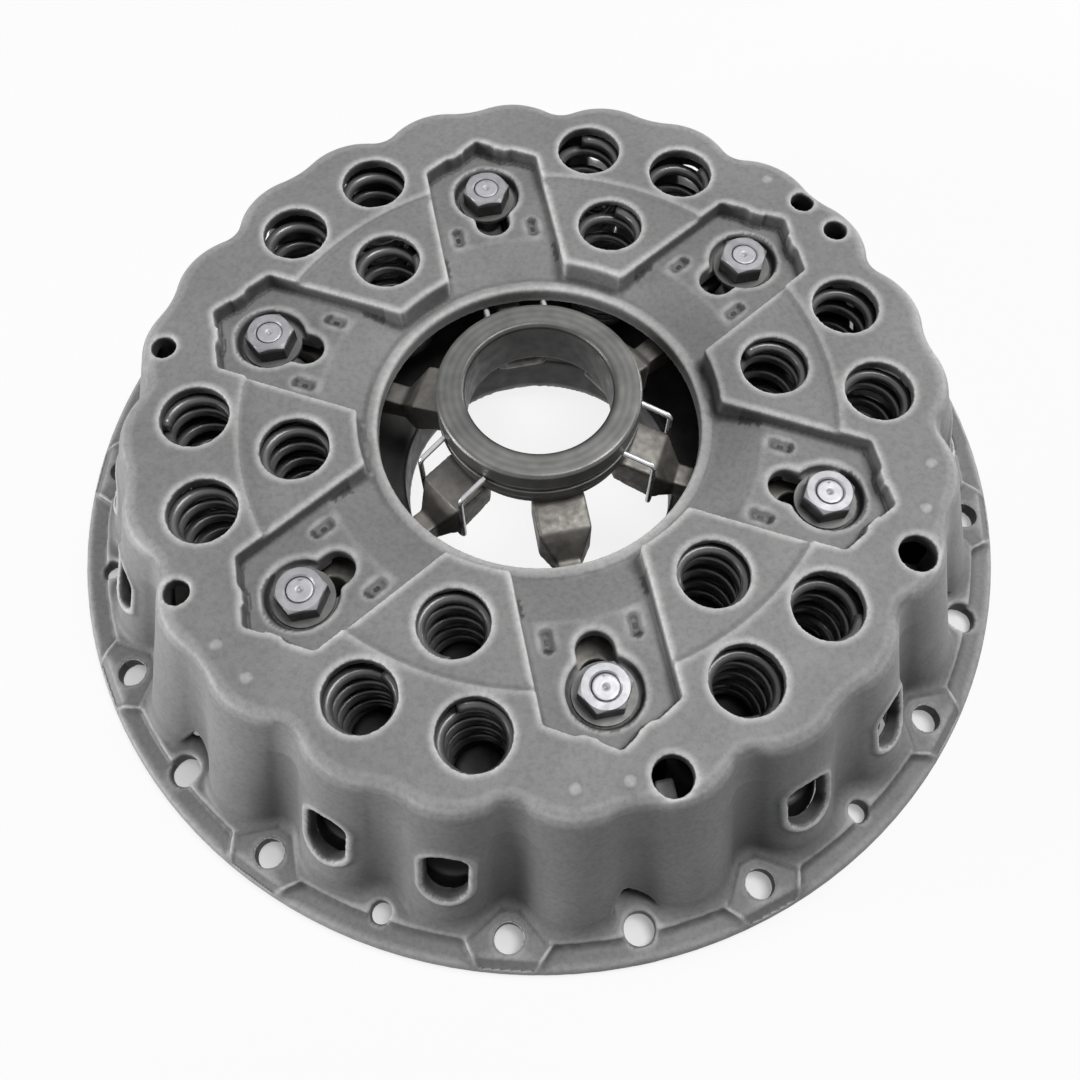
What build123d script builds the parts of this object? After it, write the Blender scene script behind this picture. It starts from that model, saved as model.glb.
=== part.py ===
import os
from math import cos, radians, sin, sqrt

from build123d import *

os.makedirs("parts", exist_ok=True)

# Sectors: one release lever in each, the first along +Y, all lengths in millimetres
lever_count = 6
first_lever_angle = 90
sector = 360 / lever_count
lobe_pitch = sector / 4
lever_angles = [first_lever_angle - sector * index for index in range(lever_count)]
middle_angles = [angle - sector / 2 for angle in lever_angles]

# Flange that bolts to the flywheel, its mounting face at height 0
flange_radius = 230
rim_thickness = 7
flange_thickness = 10.5
flange_step_radius = 218.5
edge_bevel = 2
pad_root_width = 38
pad_edge_width = 24
bolt_circle_radius = 216
bolt_hole_radius = 6.5
lever_hole_radius = 7
middle_hole_radius = 4.75

# Lobed wall of the cover, wider at its foot than at its crown
cover_height = 94
foot_lobe_radius = 215
foot_deep_valley_radius = 200
foot_shallow_valley_radius = 205
crown_lobe_radius = 183.5
crown_deep_valley_radius = 176
crown_shallow_valley_radius = 181
lobe_share = 0.68
crown_rounding = 4
foot_rounding = 4
rounding_step = 0.3
wall_thickness = 7
band_thickness = 8
wall_window_width = 18
wall_window_length = 34
wall_window_height = 48
relief_width = 17
relief_height = 21

# Top of the cover: pads between the pockets, pockets over the levers, dished hub
inner_pad_drop = 2
inner_pad_radius = 132.5
pad_inner_radius = 81
pocket_half_width = 27.6
pocket_end_radius = 150
pocket_bulge_radius = 22.3
pocket_peak_radius = 8
pocket_peak_circle = 153.4
pocket_depth = 9.5
floor_thickness = 8
floor_wall = 7
dish_outer_radius = 101
dish_inner_step = 2
dish_drop = 6
hub_radius = 73.5
rim_bead_width = 5
rim_bead_height = 1.6
spotface_radius = 16
spotface_depth = 15.5
bolt_boss_radius = 22
bolt_boss_clearance = 6
bolt_slot_width = 16.5
bolt_slot_inner_radius = 106
hook_slot_radius = 107
hook_slot_offset = 18.5
hook_slot_length = 10
hook_slot_width = 5
hook_end_drop = 2

# Small cast pips and drilled balance holes, as found on this one casting
pip_radius = 2.2
pip_height = 1
pip_circle_radius = 171.5
pip_angles = [-150, -143.5, -97, -90, -29.5, -22, 37.5]
balance_hole_depth = 24
balance_hole_circle_radius = 173.5
large_balance_radius = 8.2
large_balance_angles = [-84.5, -36.5]
small_balance_radius = 5.6
small_balance_angles = [158.5, -160, 23, 30.5]

# Pressure springs: an outer pair and one inner spring in each sector
spring_outer_radius = 18
spring_inner_radius = 12.4
outer_spring_circle = 152
outer_spring_half_angle = 9
inner_spring_circle = 109
spring_hole_radius = 15.2
spring_seat_depth = 2
spring_seat_clearance = 0.4
spigot_clearance = 0.7
spigot_height = 6

# Pressure plate, recessed behind the mounting face by plate_recess
plate_recess = 7
plate_thickness = 24
plate_radius = 187.5
plate_bore_radius = 66
plate_edge_height = 9
plate_shoulder_radius = 182
plate_lobe_gap = 4
lug_width = 24
lug_inner_radius = 168
lug_outer_radius = 180
lug_height = 26
guide_width = 8
guide_clearance = 0.3
guide_engagement = 16

# Levers, pins and eye bolts, radii from the clutch axis and heights from the mounting face
fulcrum_radius = 132
load_arm = 20
fulcrum_height = 54
pin_radius = 6
pin_clearance = 0.05
open_pivot_clearance = 0.8
lever_width = 28
lever_fork_gap = 14
lever_boss_radius = 12
arm_width = 11
arm_top_height = 67.3
arm_bottom_height = 50.5
arm_outer_radius = 106
arm_neck_length = 4
fork_flare_length = 8
arm_inner_radius = 66
arm_inner_bottom_height = 56
head_width = 23.5
head_corner_cut = 4
head_outer_radius = 57.5
head_shoulder_height = 79.5
head_bottom_height = 65
nose_radius = 8
nose_circle = 43.5
nose_height = 82
ear_gap = 0.5
ear_thickness = 7
ear_radius = 11
ear_foot_length = 30
pin_head = 0.6
eye_radius = 11.5
eye_thickness = 12.6
bolt_radius = 6

# Adjusting nuts on their washers
washer_radius = 13.6
washer_thickness = 1.6
nut_across_flats = 20
nut_height = 9.2
bolt_end_recess = 0.4
nut_chamfer = 1

# Release ring carried on the lever noses, and the wire springs
ring_outer_radius = 45
ring_inner_radius = 32.4
ring_height = 24
ring_seat_gap = 0.2
ring_groove_height = 11
ring_groove_width = 3.2
ring_groove_depth = 2.4
ring_foot_step = 1.5
ring_foot_height = 6
ring_chamfer = 1.2
ring_lead_in = 1.4
clip_wire_radius = 1.2
clip_side_gap = 0.5
clip_reach_radius = 57
clip_drop = 4
clip_bend_radius = 3
clip_levers = [0, 2, 4]
lever_spring_wire_radius = 1.5
lever_spring_cross_radius = 95
lever_spring_gap = 0.4
lever_spring_bend_radius = 5

# Heights and angles that follow from the sizes above
plate_top = plate_recess + plate_thickness
band_underside = cover_height - band_thickness
spring_top = band_underside + spring_seat_depth
pocket_floor = cover_height - pocket_depth
hook_end_height = pocket_floor - hook_end_drop
floor_underside = pocket_floor - floor_thickness
bolt_boss_underside = fulcrum_height + lever_boss_radius + bolt_boss_clearance
spotface_height = cover_height - spotface_depth
nut_top = spotface_height + washer_thickness + nut_height
load_pin_radius = fulcrum_radius + load_arm
ring_bottom = nose_height + ring_seat_gap
bevel_rise = flange_thickness - rim_thickness + edge_bevel
wall_rise = cover_height - flange_thickness
wall_lean = (foot_lobe_radius - crown_lobe_radius) / wall_rise
wall_window_radius = foot_lobe_radius - wall_lean * (wall_window_height - flange_thickness)
window_angles = [angle + side * lobe_pitch / 2 for angle in middle_angles for side in (-1, 1)]
bolt_angles = [angle + side * lobe_pitch for angle in lever_angles for side in (-1, 1)]
relief_side = sqrt(relief_height**2 + (relief_width / 2) ** 2)
bolt_slot_outer_radius = fulcrum_radius + bolt_slot_width / 2
guide_foot = plate_top + lug_height - guide_engagement
guide_offset = lug_width / 2 + guide_clearance + guide_width / 2
guide_length = foot_lobe_radius - wall_thickness - lug_inner_radius
fork_root_radius = fulcrum_radius - eye_radius - 0.5
ear_offset = lever_width / 2 + ear_gap + ear_thickness / 2
lever_spring_height = arm_top_height + lever_spring_gap + lever_spring_wire_radius
clip_offset = head_width / 2 + clip_side_gap + clip_wire_radius
clip_groove_height = ring_bottom + ring_groove_height + ring_groove_width / 2
clip_groove_radius = sqrt(ring_outer_radius**2 - clip_offset**2)
head_underside_slope = (head_bottom_height - arm_inner_bottom_height) / (arm_inner_radius - nose_circle)
clip_cross_height = (
    arm_inner_bottom_height
    + head_underside_slope * (arm_inner_radius - clip_reach_radius - clip_wire_radius)
    - clip_side_gap
    - clip_wire_radius
)
outer_spring_angles = [
    angle + side * outer_spring_half_angle for angle in middle_angles for side in (-1, 1)
]


def polar(radius, angle, height=0):
    """The point at a radius and an angle round the clutch axis."""
    return Vector(radius * cos(radians(angle)), radius * sin(radians(angle)), height)


def spokes(radius, angles):
    """Places on a circle round the axis, each with its own X pointing outwards."""
    return Locations(*[Location(polar(radius, angle), (0, 0, angle)) for angle in angles])


def wall_section(height, offset=0):
    """Section of the leaning lobed wall at a height, moved inwards by an offset."""
    share = (height - flange_thickness) / wall_rise
    lobe, deep, shallow = [
        foot + share * (crown - foot) - offset
        for foot, crown in (
            (foot_lobe_radius, crown_lobe_radius),
            (foot_deep_valley_radius, crown_deep_valley_radius),
            (foot_shallow_valley_radius, crown_shallow_valley_radius),
        )
    ]
    valleys = [shallow if index % 2 == 0 else deep for index in range(4 * lever_count)]
    with BuildSketch(Plane.XY.offset(height)) as section:
        with BuildLine():
            for index, valley in enumerate(valleys):
                valley_angle = first_lever_angle + lobe_pitch * index
                next_valley = valleys[(index + 1) % len(valleys)]
                flank = lobe - lobe_share * (lobe - valley)
                next_flank = lobe - lobe_share * (lobe - next_valley)
                flank_angle = lobe_pitch * (1 - lobe_share) / 2
                ThreePointArc(
                    polar(flank, valley_angle - flank_angle),
                    polar(valley, valley_angle),
                    polar(flank, valley_angle + flank_angle),
                )
                ThreePointArc(
                    polar(flank, valley_angle + flank_angle),
                    polar(lobe, valley_angle + lobe_pitch / 2),
                    polar(next_flank, valley_angle + lobe_pitch - flank_angle),
                )
        make_face()
    return section.sketch


def pocket_area(grow):
    """Outline of the six lever pockets and the hub, grown by an amount."""
    with BuildSketch() as area:
        Circle(pad_inner_radius + grow)
        for angle in lever_angles:
            with Locations(Location((0, 0, 0), (0, 0, angle))):
                Rectangle(
                    pocket_end_radius + grow,
                    2 * (pocket_half_width + grow),
                    align=(Align.MIN, Align.CENTER),
                )
        with spokes(fulcrum_radius, lever_angles):
            Circle(pocket_bulge_radius + grow)
        with spokes(pocket_peak_circle, lever_angles):
            Circle(pocket_peak_radius + grow)
    return area.sketch


def dish_profile(top_of_floor, height):
    """Half section of what lies above the dished floor, up to a height."""
    with BuildSketch(Plane.XZ) as profile:
        with BuildLine():
            Polyline(
                (0, top_of_floor - dish_drop),
                (pad_inner_radius - dish_inner_step, top_of_floor - dish_drop),
                (dish_outer_radius, top_of_floor),
                (flange_radius, top_of_floor),
                (flange_radius, height),
                (0, height),
                close=True,
            )
        make_face()
    return profile.sketch


with BuildPart() as pocket_tool:
    with BuildSketch(Plane.XY.offset(floor_underside - dish_drop)):
        add(pocket_area(0))
    extrude(amount=cover_height - floor_underside + dish_drop + 1)
    revolve(dish_profile(pocket_floor, cover_height + 1), axis=Axis.Z, mode=Mode.INTERSECT)

with BuildPart() as floor_block:
    with BuildSketch(Plane.XY.offset(floor_underside - dish_drop)):
        add(pocket_area(floor_wall))
    extrude(amount=cover_height - floor_underside + dish_drop)
    revolve(dish_profile(floor_underside, cover_height), axis=Axis.Z, mode=Mode.INTERSECT)
    with BuildSketch(Plane.XY.offset(bolt_boss_underside)):
        with spokes(fulcrum_radius, lever_angles):
            Circle(bolt_boss_radius)
    extrude(amount=cover_height - bolt_boss_underside)
    with BuildSketch(Plane.XY.offset(guide_foot)):
        for side in (-1, 1):
            for angle in lever_angles:
                with Locations(Location((0, 0, 0), (0, 0, angle))):
                    with Locations((lug_inner_radius, side * guide_offset)):
                        Rectangle(guide_length, guide_width, align=(Align.MIN, Align.CENTER))
    extrude(amount=cover_height - guide_foot)

with BuildPart() as cavity:
    loft([wall_section(0, wall_thickness), wall_section(band_underside, wall_thickness)], ruled=True)
    with BuildSketch(Plane.XY.offset(band_underside - 1)):
        with spokes(outer_spring_circle, outer_spring_angles):
            Circle(spring_outer_radius + spring_seat_clearance)
        with spokes(inner_spring_circle, middle_angles):
            Circle(spring_outer_radius + spring_seat_clearance)
    extrude(amount=spring_seat_depth + 1)
    add(floor_block.part, mode=Mode.SUBTRACT)

with BuildPart() as cover:
    wall_sections = [
        wall_section(flange_thickness, -foot_rounding),
        wall_section(flange_thickness + rounding_step * foot_rounding, -rounding_step * foot_rounding),
        wall_section(flange_thickness + foot_rounding),
        wall_section(cover_height - crown_rounding),
        wall_section(cover_height - rounding_step * crown_rounding, rounding_step * crown_rounding),
        wall_section(cover_height, crown_rounding),
    ]
    loft(wall_sections, ruled=True)
    with BuildSketch():
        Circle(flange_radius)
    extrude(amount=rim_thickness)
    with BuildSketch(Plane.XY.offset(rim_thickness)):
        Circle(flange_step_radius)
        for angle in bolt_angles:
            with Locations(Location((0, 0, 0), (0, 0, angle))):
                with BuildLine():
                    Polyline(
                        (bolt_circle_radius - pad_root_width / 2, -pad_root_width / 2),
                        (flange_step_radius, -pad_root_width / 2),
                        (flange_radius + 1, -pad_edge_width / 2),
                        (flange_radius + 1, pad_edge_width / 2),
                        (flange_step_radius, pad_root_width / 2),
                        (bolt_circle_radius - pad_root_width / 2, pad_root_width / 2),
                        close=True,
                    )
                make_face()
        Circle(flange_radius, mode=Mode.INTERSECT)
    extrude(amount=flange_thickness - rim_thickness)
    # Bevel round the flange's upper edge, which also slopes the ends of the bolt pads
    with BuildSketch(Plane.XZ):
        with BuildLine():
            Polyline(
                (flange_radius, rim_thickness - edge_bevel),
                (flange_radius, flange_thickness),
                (flange_radius - bevel_rise, flange_thickness),
                close=True,
            )
        make_face()
    revolve(axis=Axis.Z, mode=Mode.SUBTRACT)
    # Pads inside the step lie a little lower than the outer band
    with BuildSketch(Plane.XY.offset(cover_height - inner_pad_drop)):
        Circle(inner_pad_radius)
    extrude(amount=inner_pad_drop, mode=Mode.SUBTRACT)
    add(pocket_tool.part, mode=Mode.SUBTRACT)
    add(cavity.part, mode=Mode.SUBTRACT)
    # Hub hole with its raised bead
    with BuildSketch(Plane.XY.offset(pocket_floor - dish_drop)):
        Circle(hub_radius + rim_bead_width)
    extrude(amount=rim_bead_height)
    Cylinder(
        hub_radius,
        cover_height,
        align=(Align.CENTER, Align.CENTER, Align.MIN),
        mode=Mode.SUBTRACT,
    )
    # Spring holes
    with BuildSketch(Plane.XY.offset(band_underside - 1)):
        with spokes(outer_spring_circle, outer_spring_angles):
            Circle(spring_hole_radius)
        with spokes(inner_spring_circle, middle_angles):
            Circle(spring_hole_radius)
    extrude(amount=band_thickness + 1, mode=Mode.SUBTRACT)
    # Spotfaces, eye bolt slots and hook slots in the pocket floors
    with BuildSketch(Plane.XY.offset(spotface_height)):
        with spokes(fulcrum_radius, lever_angles):
            Circle(spotface_radius)
    extrude(amount=spotface_depth, mode=Mode.SUBTRACT)
    with BuildSketch(Plane.XY.offset(fulcrum_height)):
        for angle in lever_angles:
            with Locations(Location((0, 0, 0), (0, 0, angle))):
                with Locations(((bolt_slot_inner_radius + bolt_slot_outer_radius) / 2, 0)):
                    SlotOverall(
                        bolt_slot_outer_radius - bolt_slot_inner_radius, bolt_slot_width
                    )
                with Locations(
                    (hook_slot_radius, hook_slot_offset), (hook_slot_radius, -hook_slot_offset)
                ):
                    Rectangle(hook_slot_length, hook_slot_width)
    extrude(amount=cover_height - fulcrum_height, mode=Mode.SUBTRACT)
    # Flange holes
    with BuildSketch():
        with spokes(bolt_circle_radius, bolt_angles):
            Circle(bolt_hole_radius)
        with spokes(bolt_circle_radius, lever_angles):
            Circle(lever_hole_radius)
        with spokes(bolt_circle_radius, middle_angles):
            Circle(middle_hole_radius)
    extrude(amount=flange_thickness + 1, mode=Mode.SUBTRACT)
    # Oval windows in the two lobes beside each sector's middle
    for angle in window_angles:
        middle = polar(wall_window_radius, angle, wall_window_height)
        outward = Vector(cos(radians(angle)), sin(radians(angle)), wall_lean)
        with BuildSketch(Plane(middle, x_dir=polar(1, angle + 90), z_dir=outward)):
            SlotOverall(wall_window_length, wall_window_width, rotation=90)
        extrude(amount=2 * wall_thickness, both=True, mode=Mode.SUBTRACT)
    # Pointed reliefs at the foot of the wall, above the holes at the levers
    for angle in lever_angles:
        foot = polar(foot_shallow_valley_radius - 2 * wall_thickness, angle, flange_thickness)
        with BuildSketch(Plane(foot, x_dir=polar(1, angle + 90), z_dir=polar(1, angle))):
            Triangle(c=relief_width, a=relief_side, b=relief_side, align=(Align.CENTER, Align.MIN))
        extrude(amount=4 * wall_thickness, mode=Mode.SUBTRACT)
    # Cast pips and balance holes
    with BuildSketch(Plane.XY.offset(cover_height)):
        with spokes(pip_circle_radius, pip_angles):
            Circle(pip_radius)
    extrude(amount=pip_height)
    with BuildSketch(Plane.XY.offset(cover_height)):
        with spokes(balance_hole_circle_radius, large_balance_angles):
            Circle(large_balance_radius)
        with spokes(balance_hole_circle_radius, small_balance_angles):
            Circle(small_balance_radius)
    extrude(amount=-balance_hole_depth, mode=Mode.SUBTRACT)

# The one casting is told as four nodes that touch: flange, wall, band and lever trays
with BuildPart() as tray_space:
    with BuildSketch(Plane.XY.offset(flange_thickness)):
        add(pocket_area(floor_wall))
    extrude(amount=cover_height)

with BuildPart() as cover_flange:
    add(cover.part)
    with BuildSketch():
        Circle(2 * flange_radius)
    extrude(amount=flange_thickness, mode=Mode.INTERSECT)
    cover_flange.part.label = "cover_flange"

with BuildPart() as cover_wall:
    add(cover.part)
    with BuildSketch(Plane.XY.offset(flange_thickness)):
        Circle(2 * flange_radius)
    extrude(amount=band_underside - flange_thickness, mode=Mode.INTERSECT)
    add(tray_space.part, mode=Mode.SUBTRACT)
    cover_wall.part.label = "cover_wall"

with BuildPart() as cover_band:
    add(cover.part)
    with BuildSketch(Plane.XY.offset(band_underside)):
        Circle(2 * flange_radius)
    extrude(amount=cover_height, mode=Mode.INTERSECT)
    add(tray_space.part, mode=Mode.SUBTRACT)
    cover_band.part.label = "cover_band"

with BuildPart() as cover_trays:
    add(cover.part)
    add(tray_space.part, mode=Mode.INTERSECT)
    cover_trays.part.label = "cover_trays"

with BuildPart() as pressure_plate:
    with BuildSketch(Plane.XZ):
        with BuildLine():
            Polyline(
                (plate_bore_radius, plate_recess),
                (plate_radius, plate_recess),
                (plate_radius, plate_recess + plate_edge_height),
                (plate_shoulder_radius, plate_top),
                (plate_bore_radius, plate_top),
                close=True,
            )
        make_face()
    revolve(axis=Axis.Z)
    # Scalloped rim that follows the lobes of the cover
    loft(
        [
            wall_section(plate_recess + plate_edge_height, wall_thickness + plate_lobe_gap),
            wall_section(plate_top, wall_thickness + plate_lobe_gap),
        ],
        ruled=True,
    )
    with BuildSketch(Plane.XY.offset(plate_recess)):
        Circle(plate_bore_radius)
    extrude(amount=plate_thickness, mode=Mode.SUBTRACT)
    # Spigots inside the pressure springs
    with BuildSketch(Plane.XY.offset(plate_top)):
        with spokes(outer_spring_circle, outer_spring_angles):
            Circle(spring_inner_radius - spigot_clearance)
        with spokes(inner_spring_circle, middle_angles):
            Circle(spring_inner_radius - spigot_clearance)
    extrude(amount=spigot_height)
    # Drive lugs between the guides of the cover
    with BuildSketch(Plane.XY.offset(plate_top)):
        for angle in lever_angles:
            with Locations(Location((0, 0, 0), (0, 0, angle))):
                with Locations((lug_inner_radius, 0)):
                    Rectangle(
                        lug_outer_radius - lug_inner_radius,
                        lug_width,
                        align=(Align.MIN, Align.CENTER),
                    )
    extrude(amount=lug_height)
    # Pairs of ears that hold the load pins
    for angle in lever_angles:
        for side in (-1, 1):
            place = polar(load_pin_radius, angle) + polar(side * ear_offset, angle + 90)
            with BuildSketch(Plane(place, x_dir=polar(1, angle), z_dir=polar(-1, angle + 90))):
                with BuildLine():
                    Line((-ear_foot_length / 2, plate_top), (ear_foot_length / 2, plate_top))
                    Line((ear_foot_length / 2, plate_top), (ear_radius, fulcrum_height))
                    ThreePointArc(
                        (ear_radius, fulcrum_height),
                        (0, fulcrum_height + ear_radius),
                        (-ear_radius, fulcrum_height),
                    )
                    Line((-ear_radius, fulcrum_height), (-ear_foot_length / 2, plate_top))
                make_face()
                with Locations((0, fulcrum_height)):
                    Circle(pin_radius + pin_clearance, mode=Mode.SUBTRACT)
            extrude(amount=ear_thickness / 2, both=True)
    pressure_plate.part.label = "pressure_plate"

with BuildPart() as release_ring:
    with BuildSketch(Plane.XZ):
        with BuildLine():
            Polyline(
                (ring_inner_radius, ring_bottom),
                (ring_outer_radius - ring_foot_step, ring_bottom),
                (ring_outer_radius - ring_foot_step, ring_bottom + ring_foot_height),
                (ring_outer_radius, ring_bottom + ring_foot_height),
                (ring_outer_radius, ring_bottom + ring_groove_height),
                (ring_outer_radius - ring_groove_depth, ring_bottom + ring_groove_height),
                (
                    ring_outer_radius - ring_groove_depth,
                    ring_bottom + ring_groove_height + ring_groove_width,
                ),
                (ring_outer_radius, ring_bottom + ring_groove_height + ring_groove_width),
                (ring_outer_radius, ring_bottom + ring_height - ring_chamfer),
                (ring_outer_radius - ring_chamfer, ring_bottom + ring_height),
                (ring_inner_radius + ring_lead_in, ring_bottom + ring_height),
                (ring_inner_radius, ring_bottom + ring_height - ring_lead_in),
                close=True,
            )
        make_face()
    revolve(axis=Axis.Z)
    release_ring.part.label = "release_ring"

with BuildPart() as lever_blank:
    with BuildSketch(Plane.XZ):
        with BuildLine():
            Polyline(
                (nose_circle, nose_height),
                (head_outer_radius, head_shoulder_height),
                (arm_inner_radius, arm_top_height),
                (fulcrum_radius, arm_top_height),
                (fulcrum_radius, arm_bottom_height),
                (arm_outer_radius, arm_bottom_height),
                (arm_inner_radius, arm_inner_bottom_height),
                (nose_circle, head_bottom_height),
                close=True,
            )
        make_face()
        with Locations((nose_circle, nose_height - nose_radius)):
            Circle(nose_radius)
        with Locations((fulcrum_radius, fulcrum_height), (load_pin_radius, fulcrum_height)):
            Circle(lever_boss_radius)
        with Locations((fulcrum_radius + load_arm / 2, fulcrum_height)):
            Rectangle(load_arm, 2 * lever_boss_radius)
        with Locations((fulcrum_radius, fulcrum_height)):
            Circle(pin_radius + pin_clearance, mode=Mode.SUBTRACT)
        with Locations((load_pin_radius, fulcrum_height)):
            Circle(pin_radius + open_pivot_clearance, mode=Mode.SUBTRACT)
    extrude(amount=lever_width / 2, both=True)
    with BuildSketch():
        with BuildLine():
            Polyline(
                (nose_circle - nose_radius, 0),
                (nose_circle - nose_radius, head_width / 2 - head_corner_cut),
                (nose_circle - nose_radius + head_corner_cut, head_width / 2),
                (head_outer_radius, head_width / 2),
                (arm_inner_radius, arm_width / 2),
                (arm_outer_radius - arm_neck_length, arm_width / 2),
                (arm_outer_radius + fork_flare_length, lever_width / 2),
                (load_pin_radius + lever_boss_radius, lever_width / 2),
                (load_pin_radius + lever_boss_radius, 0),
                close=True,
            )
        make_face()
        mirror(about=Plane.XZ)
        with Locations((fork_root_radius, 0)):
            Circle(lever_fork_gap / 2, mode=Mode.SUBTRACT)
            Rectangle(
                2 * load_arm + lever_boss_radius,
                lever_fork_gap,
                align=(Align.MIN, Align.CENTER),
                mode=Mode.SUBTRACT,
            )
    extrude(amount=cover_height, mode=Mode.INTERSECT)

with BuildPart() as bolt_blank:
    with BuildSketch(Plane.XZ):
        with Locations((fulcrum_radius, fulcrum_height)):
            Circle(eye_radius)
    extrude(amount=eye_thickness / 2, both=True)
    with BuildSketch(Plane.XY.offset(fulcrum_height)):
        with Locations((fulcrum_radius, 0)):
            Circle(bolt_radius)
    extrude(amount=nut_top - bolt_end_recess - fulcrum_height)
    with BuildSketch(Plane.XZ):
        with Locations((fulcrum_radius, fulcrum_height)):
            Circle(pin_radius + pin_clearance)
    extrude(amount=eye_thickness, both=True, mode=Mode.SUBTRACT)

with BuildPart() as nut_blank:
    with BuildSketch(Plane.XY.offset(spotface_height + washer_thickness)):
        with Locations((fulcrum_radius, 0)):
            RegularPolygon(nut_across_flats / 2, 6, major_radius=False)
    extrude(amount=nut_height)
    chamfer(nut_blank.edges().group_by(Axis.Z)[-1], nut_chamfer)
    with BuildSketch(Plane.XY.offset(spotface_height)):
        with Locations((fulcrum_radius, 0)):
            Circle(bolt_radius + pin_clearance)
    extrude(amount=2 * nut_height, mode=Mode.SUBTRACT)

with BuildPart() as spring_blank:
    with BuildSketch(Plane.XY.offset(plate_top)):
        Circle(spring_outer_radius)
        Circle(spring_inner_radius, mode=Mode.SUBTRACT)
    extrude(amount=spring_top - plate_top)

with BuildPart() as lever_spring_blank:
    with BuildLine() as wire_line:
        FilletPolyline(
            (hook_slot_radius, hook_slot_offset, hook_end_height),
            (hook_slot_radius, hook_slot_offset, lever_spring_height),
            (lever_spring_cross_radius, hook_slot_offset, lever_spring_height),
            (lever_spring_cross_radius, -hook_slot_offset, lever_spring_height),
            (hook_slot_radius, -hook_slot_offset, lever_spring_height),
            (hook_slot_radius, -hook_slot_offset, hook_end_height),
            radius=lever_spring_bend_radius,
        )
    with BuildSketch(Plane(wire_line.line @ 0, z_dir=wire_line.line % 0)):
        Circle(lever_spring_wire_radius)
    sweep()

with BuildPart() as nut_washers:
    with BuildSketch(Plane.XY.offset(spotface_height)):
        with spokes(fulcrum_radius, lever_angles):
            Circle(washer_radius)
            Circle(bolt_radius + 2 * pin_clearance, mode=Mode.SUBTRACT)
    extrude(amount=washer_thickness)
    nut_washers.part.label = "nut_washers"

with BuildPart() as fulcrum_pins:
    for angle in lever_angles:
        pin_plane = Plane(
            polar(fulcrum_radius, angle, fulcrum_height), z_dir=polar(1, angle + 90)
        )
        with BuildSketch(pin_plane):
            Circle(pin_radius)
        extrude(amount=lever_width / 2, both=True)
    fulcrum_pins.part.label = "fulcrum_pins"

with BuildPart() as load_pins:
    for angle in lever_angles:
        pin_plane = Plane(
            polar(load_pin_radius, angle, fulcrum_height), z_dir=polar(1, angle + 90)
        )
        with BuildSketch(pin_plane):
            Circle(pin_radius)
        extrude(amount=ear_offset + ear_thickness / 2 + pin_head, both=True)
    load_pins.part.label = "load_pins"

with BuildPart() as ring_clips:
    for index in clip_levers:
        frame = Plane.XY.rotated((0, 0, lever_angles[index]))
        corners = [
            (clip_groove_radius, clip_offset, clip_groove_height),
            (clip_reach_radius, clip_offset, clip_groove_height - clip_drop),
            (clip_reach_radius, clip_offset, clip_cross_height),
            (clip_reach_radius, -clip_offset, clip_cross_height),
            (clip_reach_radius, -clip_offset, clip_groove_height - clip_drop),
            (clip_groove_radius, -clip_offset, clip_groove_height),
        ]
        with BuildLine() as clip_line:
            FilletPolyline(*[frame.from_local_coords(corner) for corner in corners], radius=clip_bend_radius)
        with BuildSketch(Plane(clip_line.line @ 0, z_dir=clip_line.line % 0)):
            Circle(clip_wire_radius)
        sweep()
    ring_clips.part.label = "ring_clips"

for finished in (
    cover_flange,
    cover_wall,
    cover_band,
    cover_trays,
    pressure_plate,
    release_ring,
    nut_washers,
    fulcrum_pins,
    load_pins,
    ring_clips,
):
    export_step(finished.part, f"parts/{finished.part.label}.step")

for blank, name in (
    (lever_blank, "release_lever"),
    (bolt_blank, "eye_bolt"),
    (nut_blank, "adjusting_nut"),
    (lever_spring_blank, "lever_spring"),
):
    for number, angle in enumerate(lever_angles, start=1):
        piece = blank.part.rotate(Axis.Z, angle)
        piece.label = f"{name}_{number}"
        export_step(piece, f"parts/{piece.label}.step")

spring_places = [polar(outer_spring_circle, angle) for angle in outer_spring_angles]
spring_places += [polar(inner_spring_circle, angle) for angle in middle_angles]
for number, place in enumerate(spring_places, start=1):
    piece = spring_blank.part.translate(place)
    piece.label = f"pressure_spring_{number}"
    export_step(piece, f"parts/{piece.label}.step")
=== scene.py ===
import math
from array import array

import bmesh
import bpy
from mathutils import Matrix, Vector
from mathutils.bvhtree import BVHTree


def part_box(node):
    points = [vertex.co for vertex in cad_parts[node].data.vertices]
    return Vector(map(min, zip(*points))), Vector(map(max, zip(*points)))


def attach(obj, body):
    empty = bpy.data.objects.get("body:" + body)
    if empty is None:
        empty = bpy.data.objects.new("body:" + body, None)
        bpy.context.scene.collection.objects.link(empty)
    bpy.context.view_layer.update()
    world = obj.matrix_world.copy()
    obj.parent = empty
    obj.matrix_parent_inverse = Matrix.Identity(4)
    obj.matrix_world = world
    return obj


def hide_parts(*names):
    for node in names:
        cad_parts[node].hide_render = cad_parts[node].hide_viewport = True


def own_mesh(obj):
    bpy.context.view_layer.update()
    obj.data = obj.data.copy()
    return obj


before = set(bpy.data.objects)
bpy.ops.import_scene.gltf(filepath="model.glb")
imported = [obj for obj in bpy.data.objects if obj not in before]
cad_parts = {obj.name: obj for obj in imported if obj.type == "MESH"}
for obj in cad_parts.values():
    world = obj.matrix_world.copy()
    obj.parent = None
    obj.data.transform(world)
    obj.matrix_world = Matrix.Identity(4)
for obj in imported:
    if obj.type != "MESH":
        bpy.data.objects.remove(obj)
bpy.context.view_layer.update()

# Sizes in metres, angles in degrees, as in the CAD source
LEVER_COUNT = 6
FIRST_LEVER_ANGLE = 90
SECTOR = 360 / LEVER_COUNT
LEVER_ANGLES = [FIRST_LEVER_ANGLE - SECTOR * index for index in range(LEVER_COUNT)]
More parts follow.
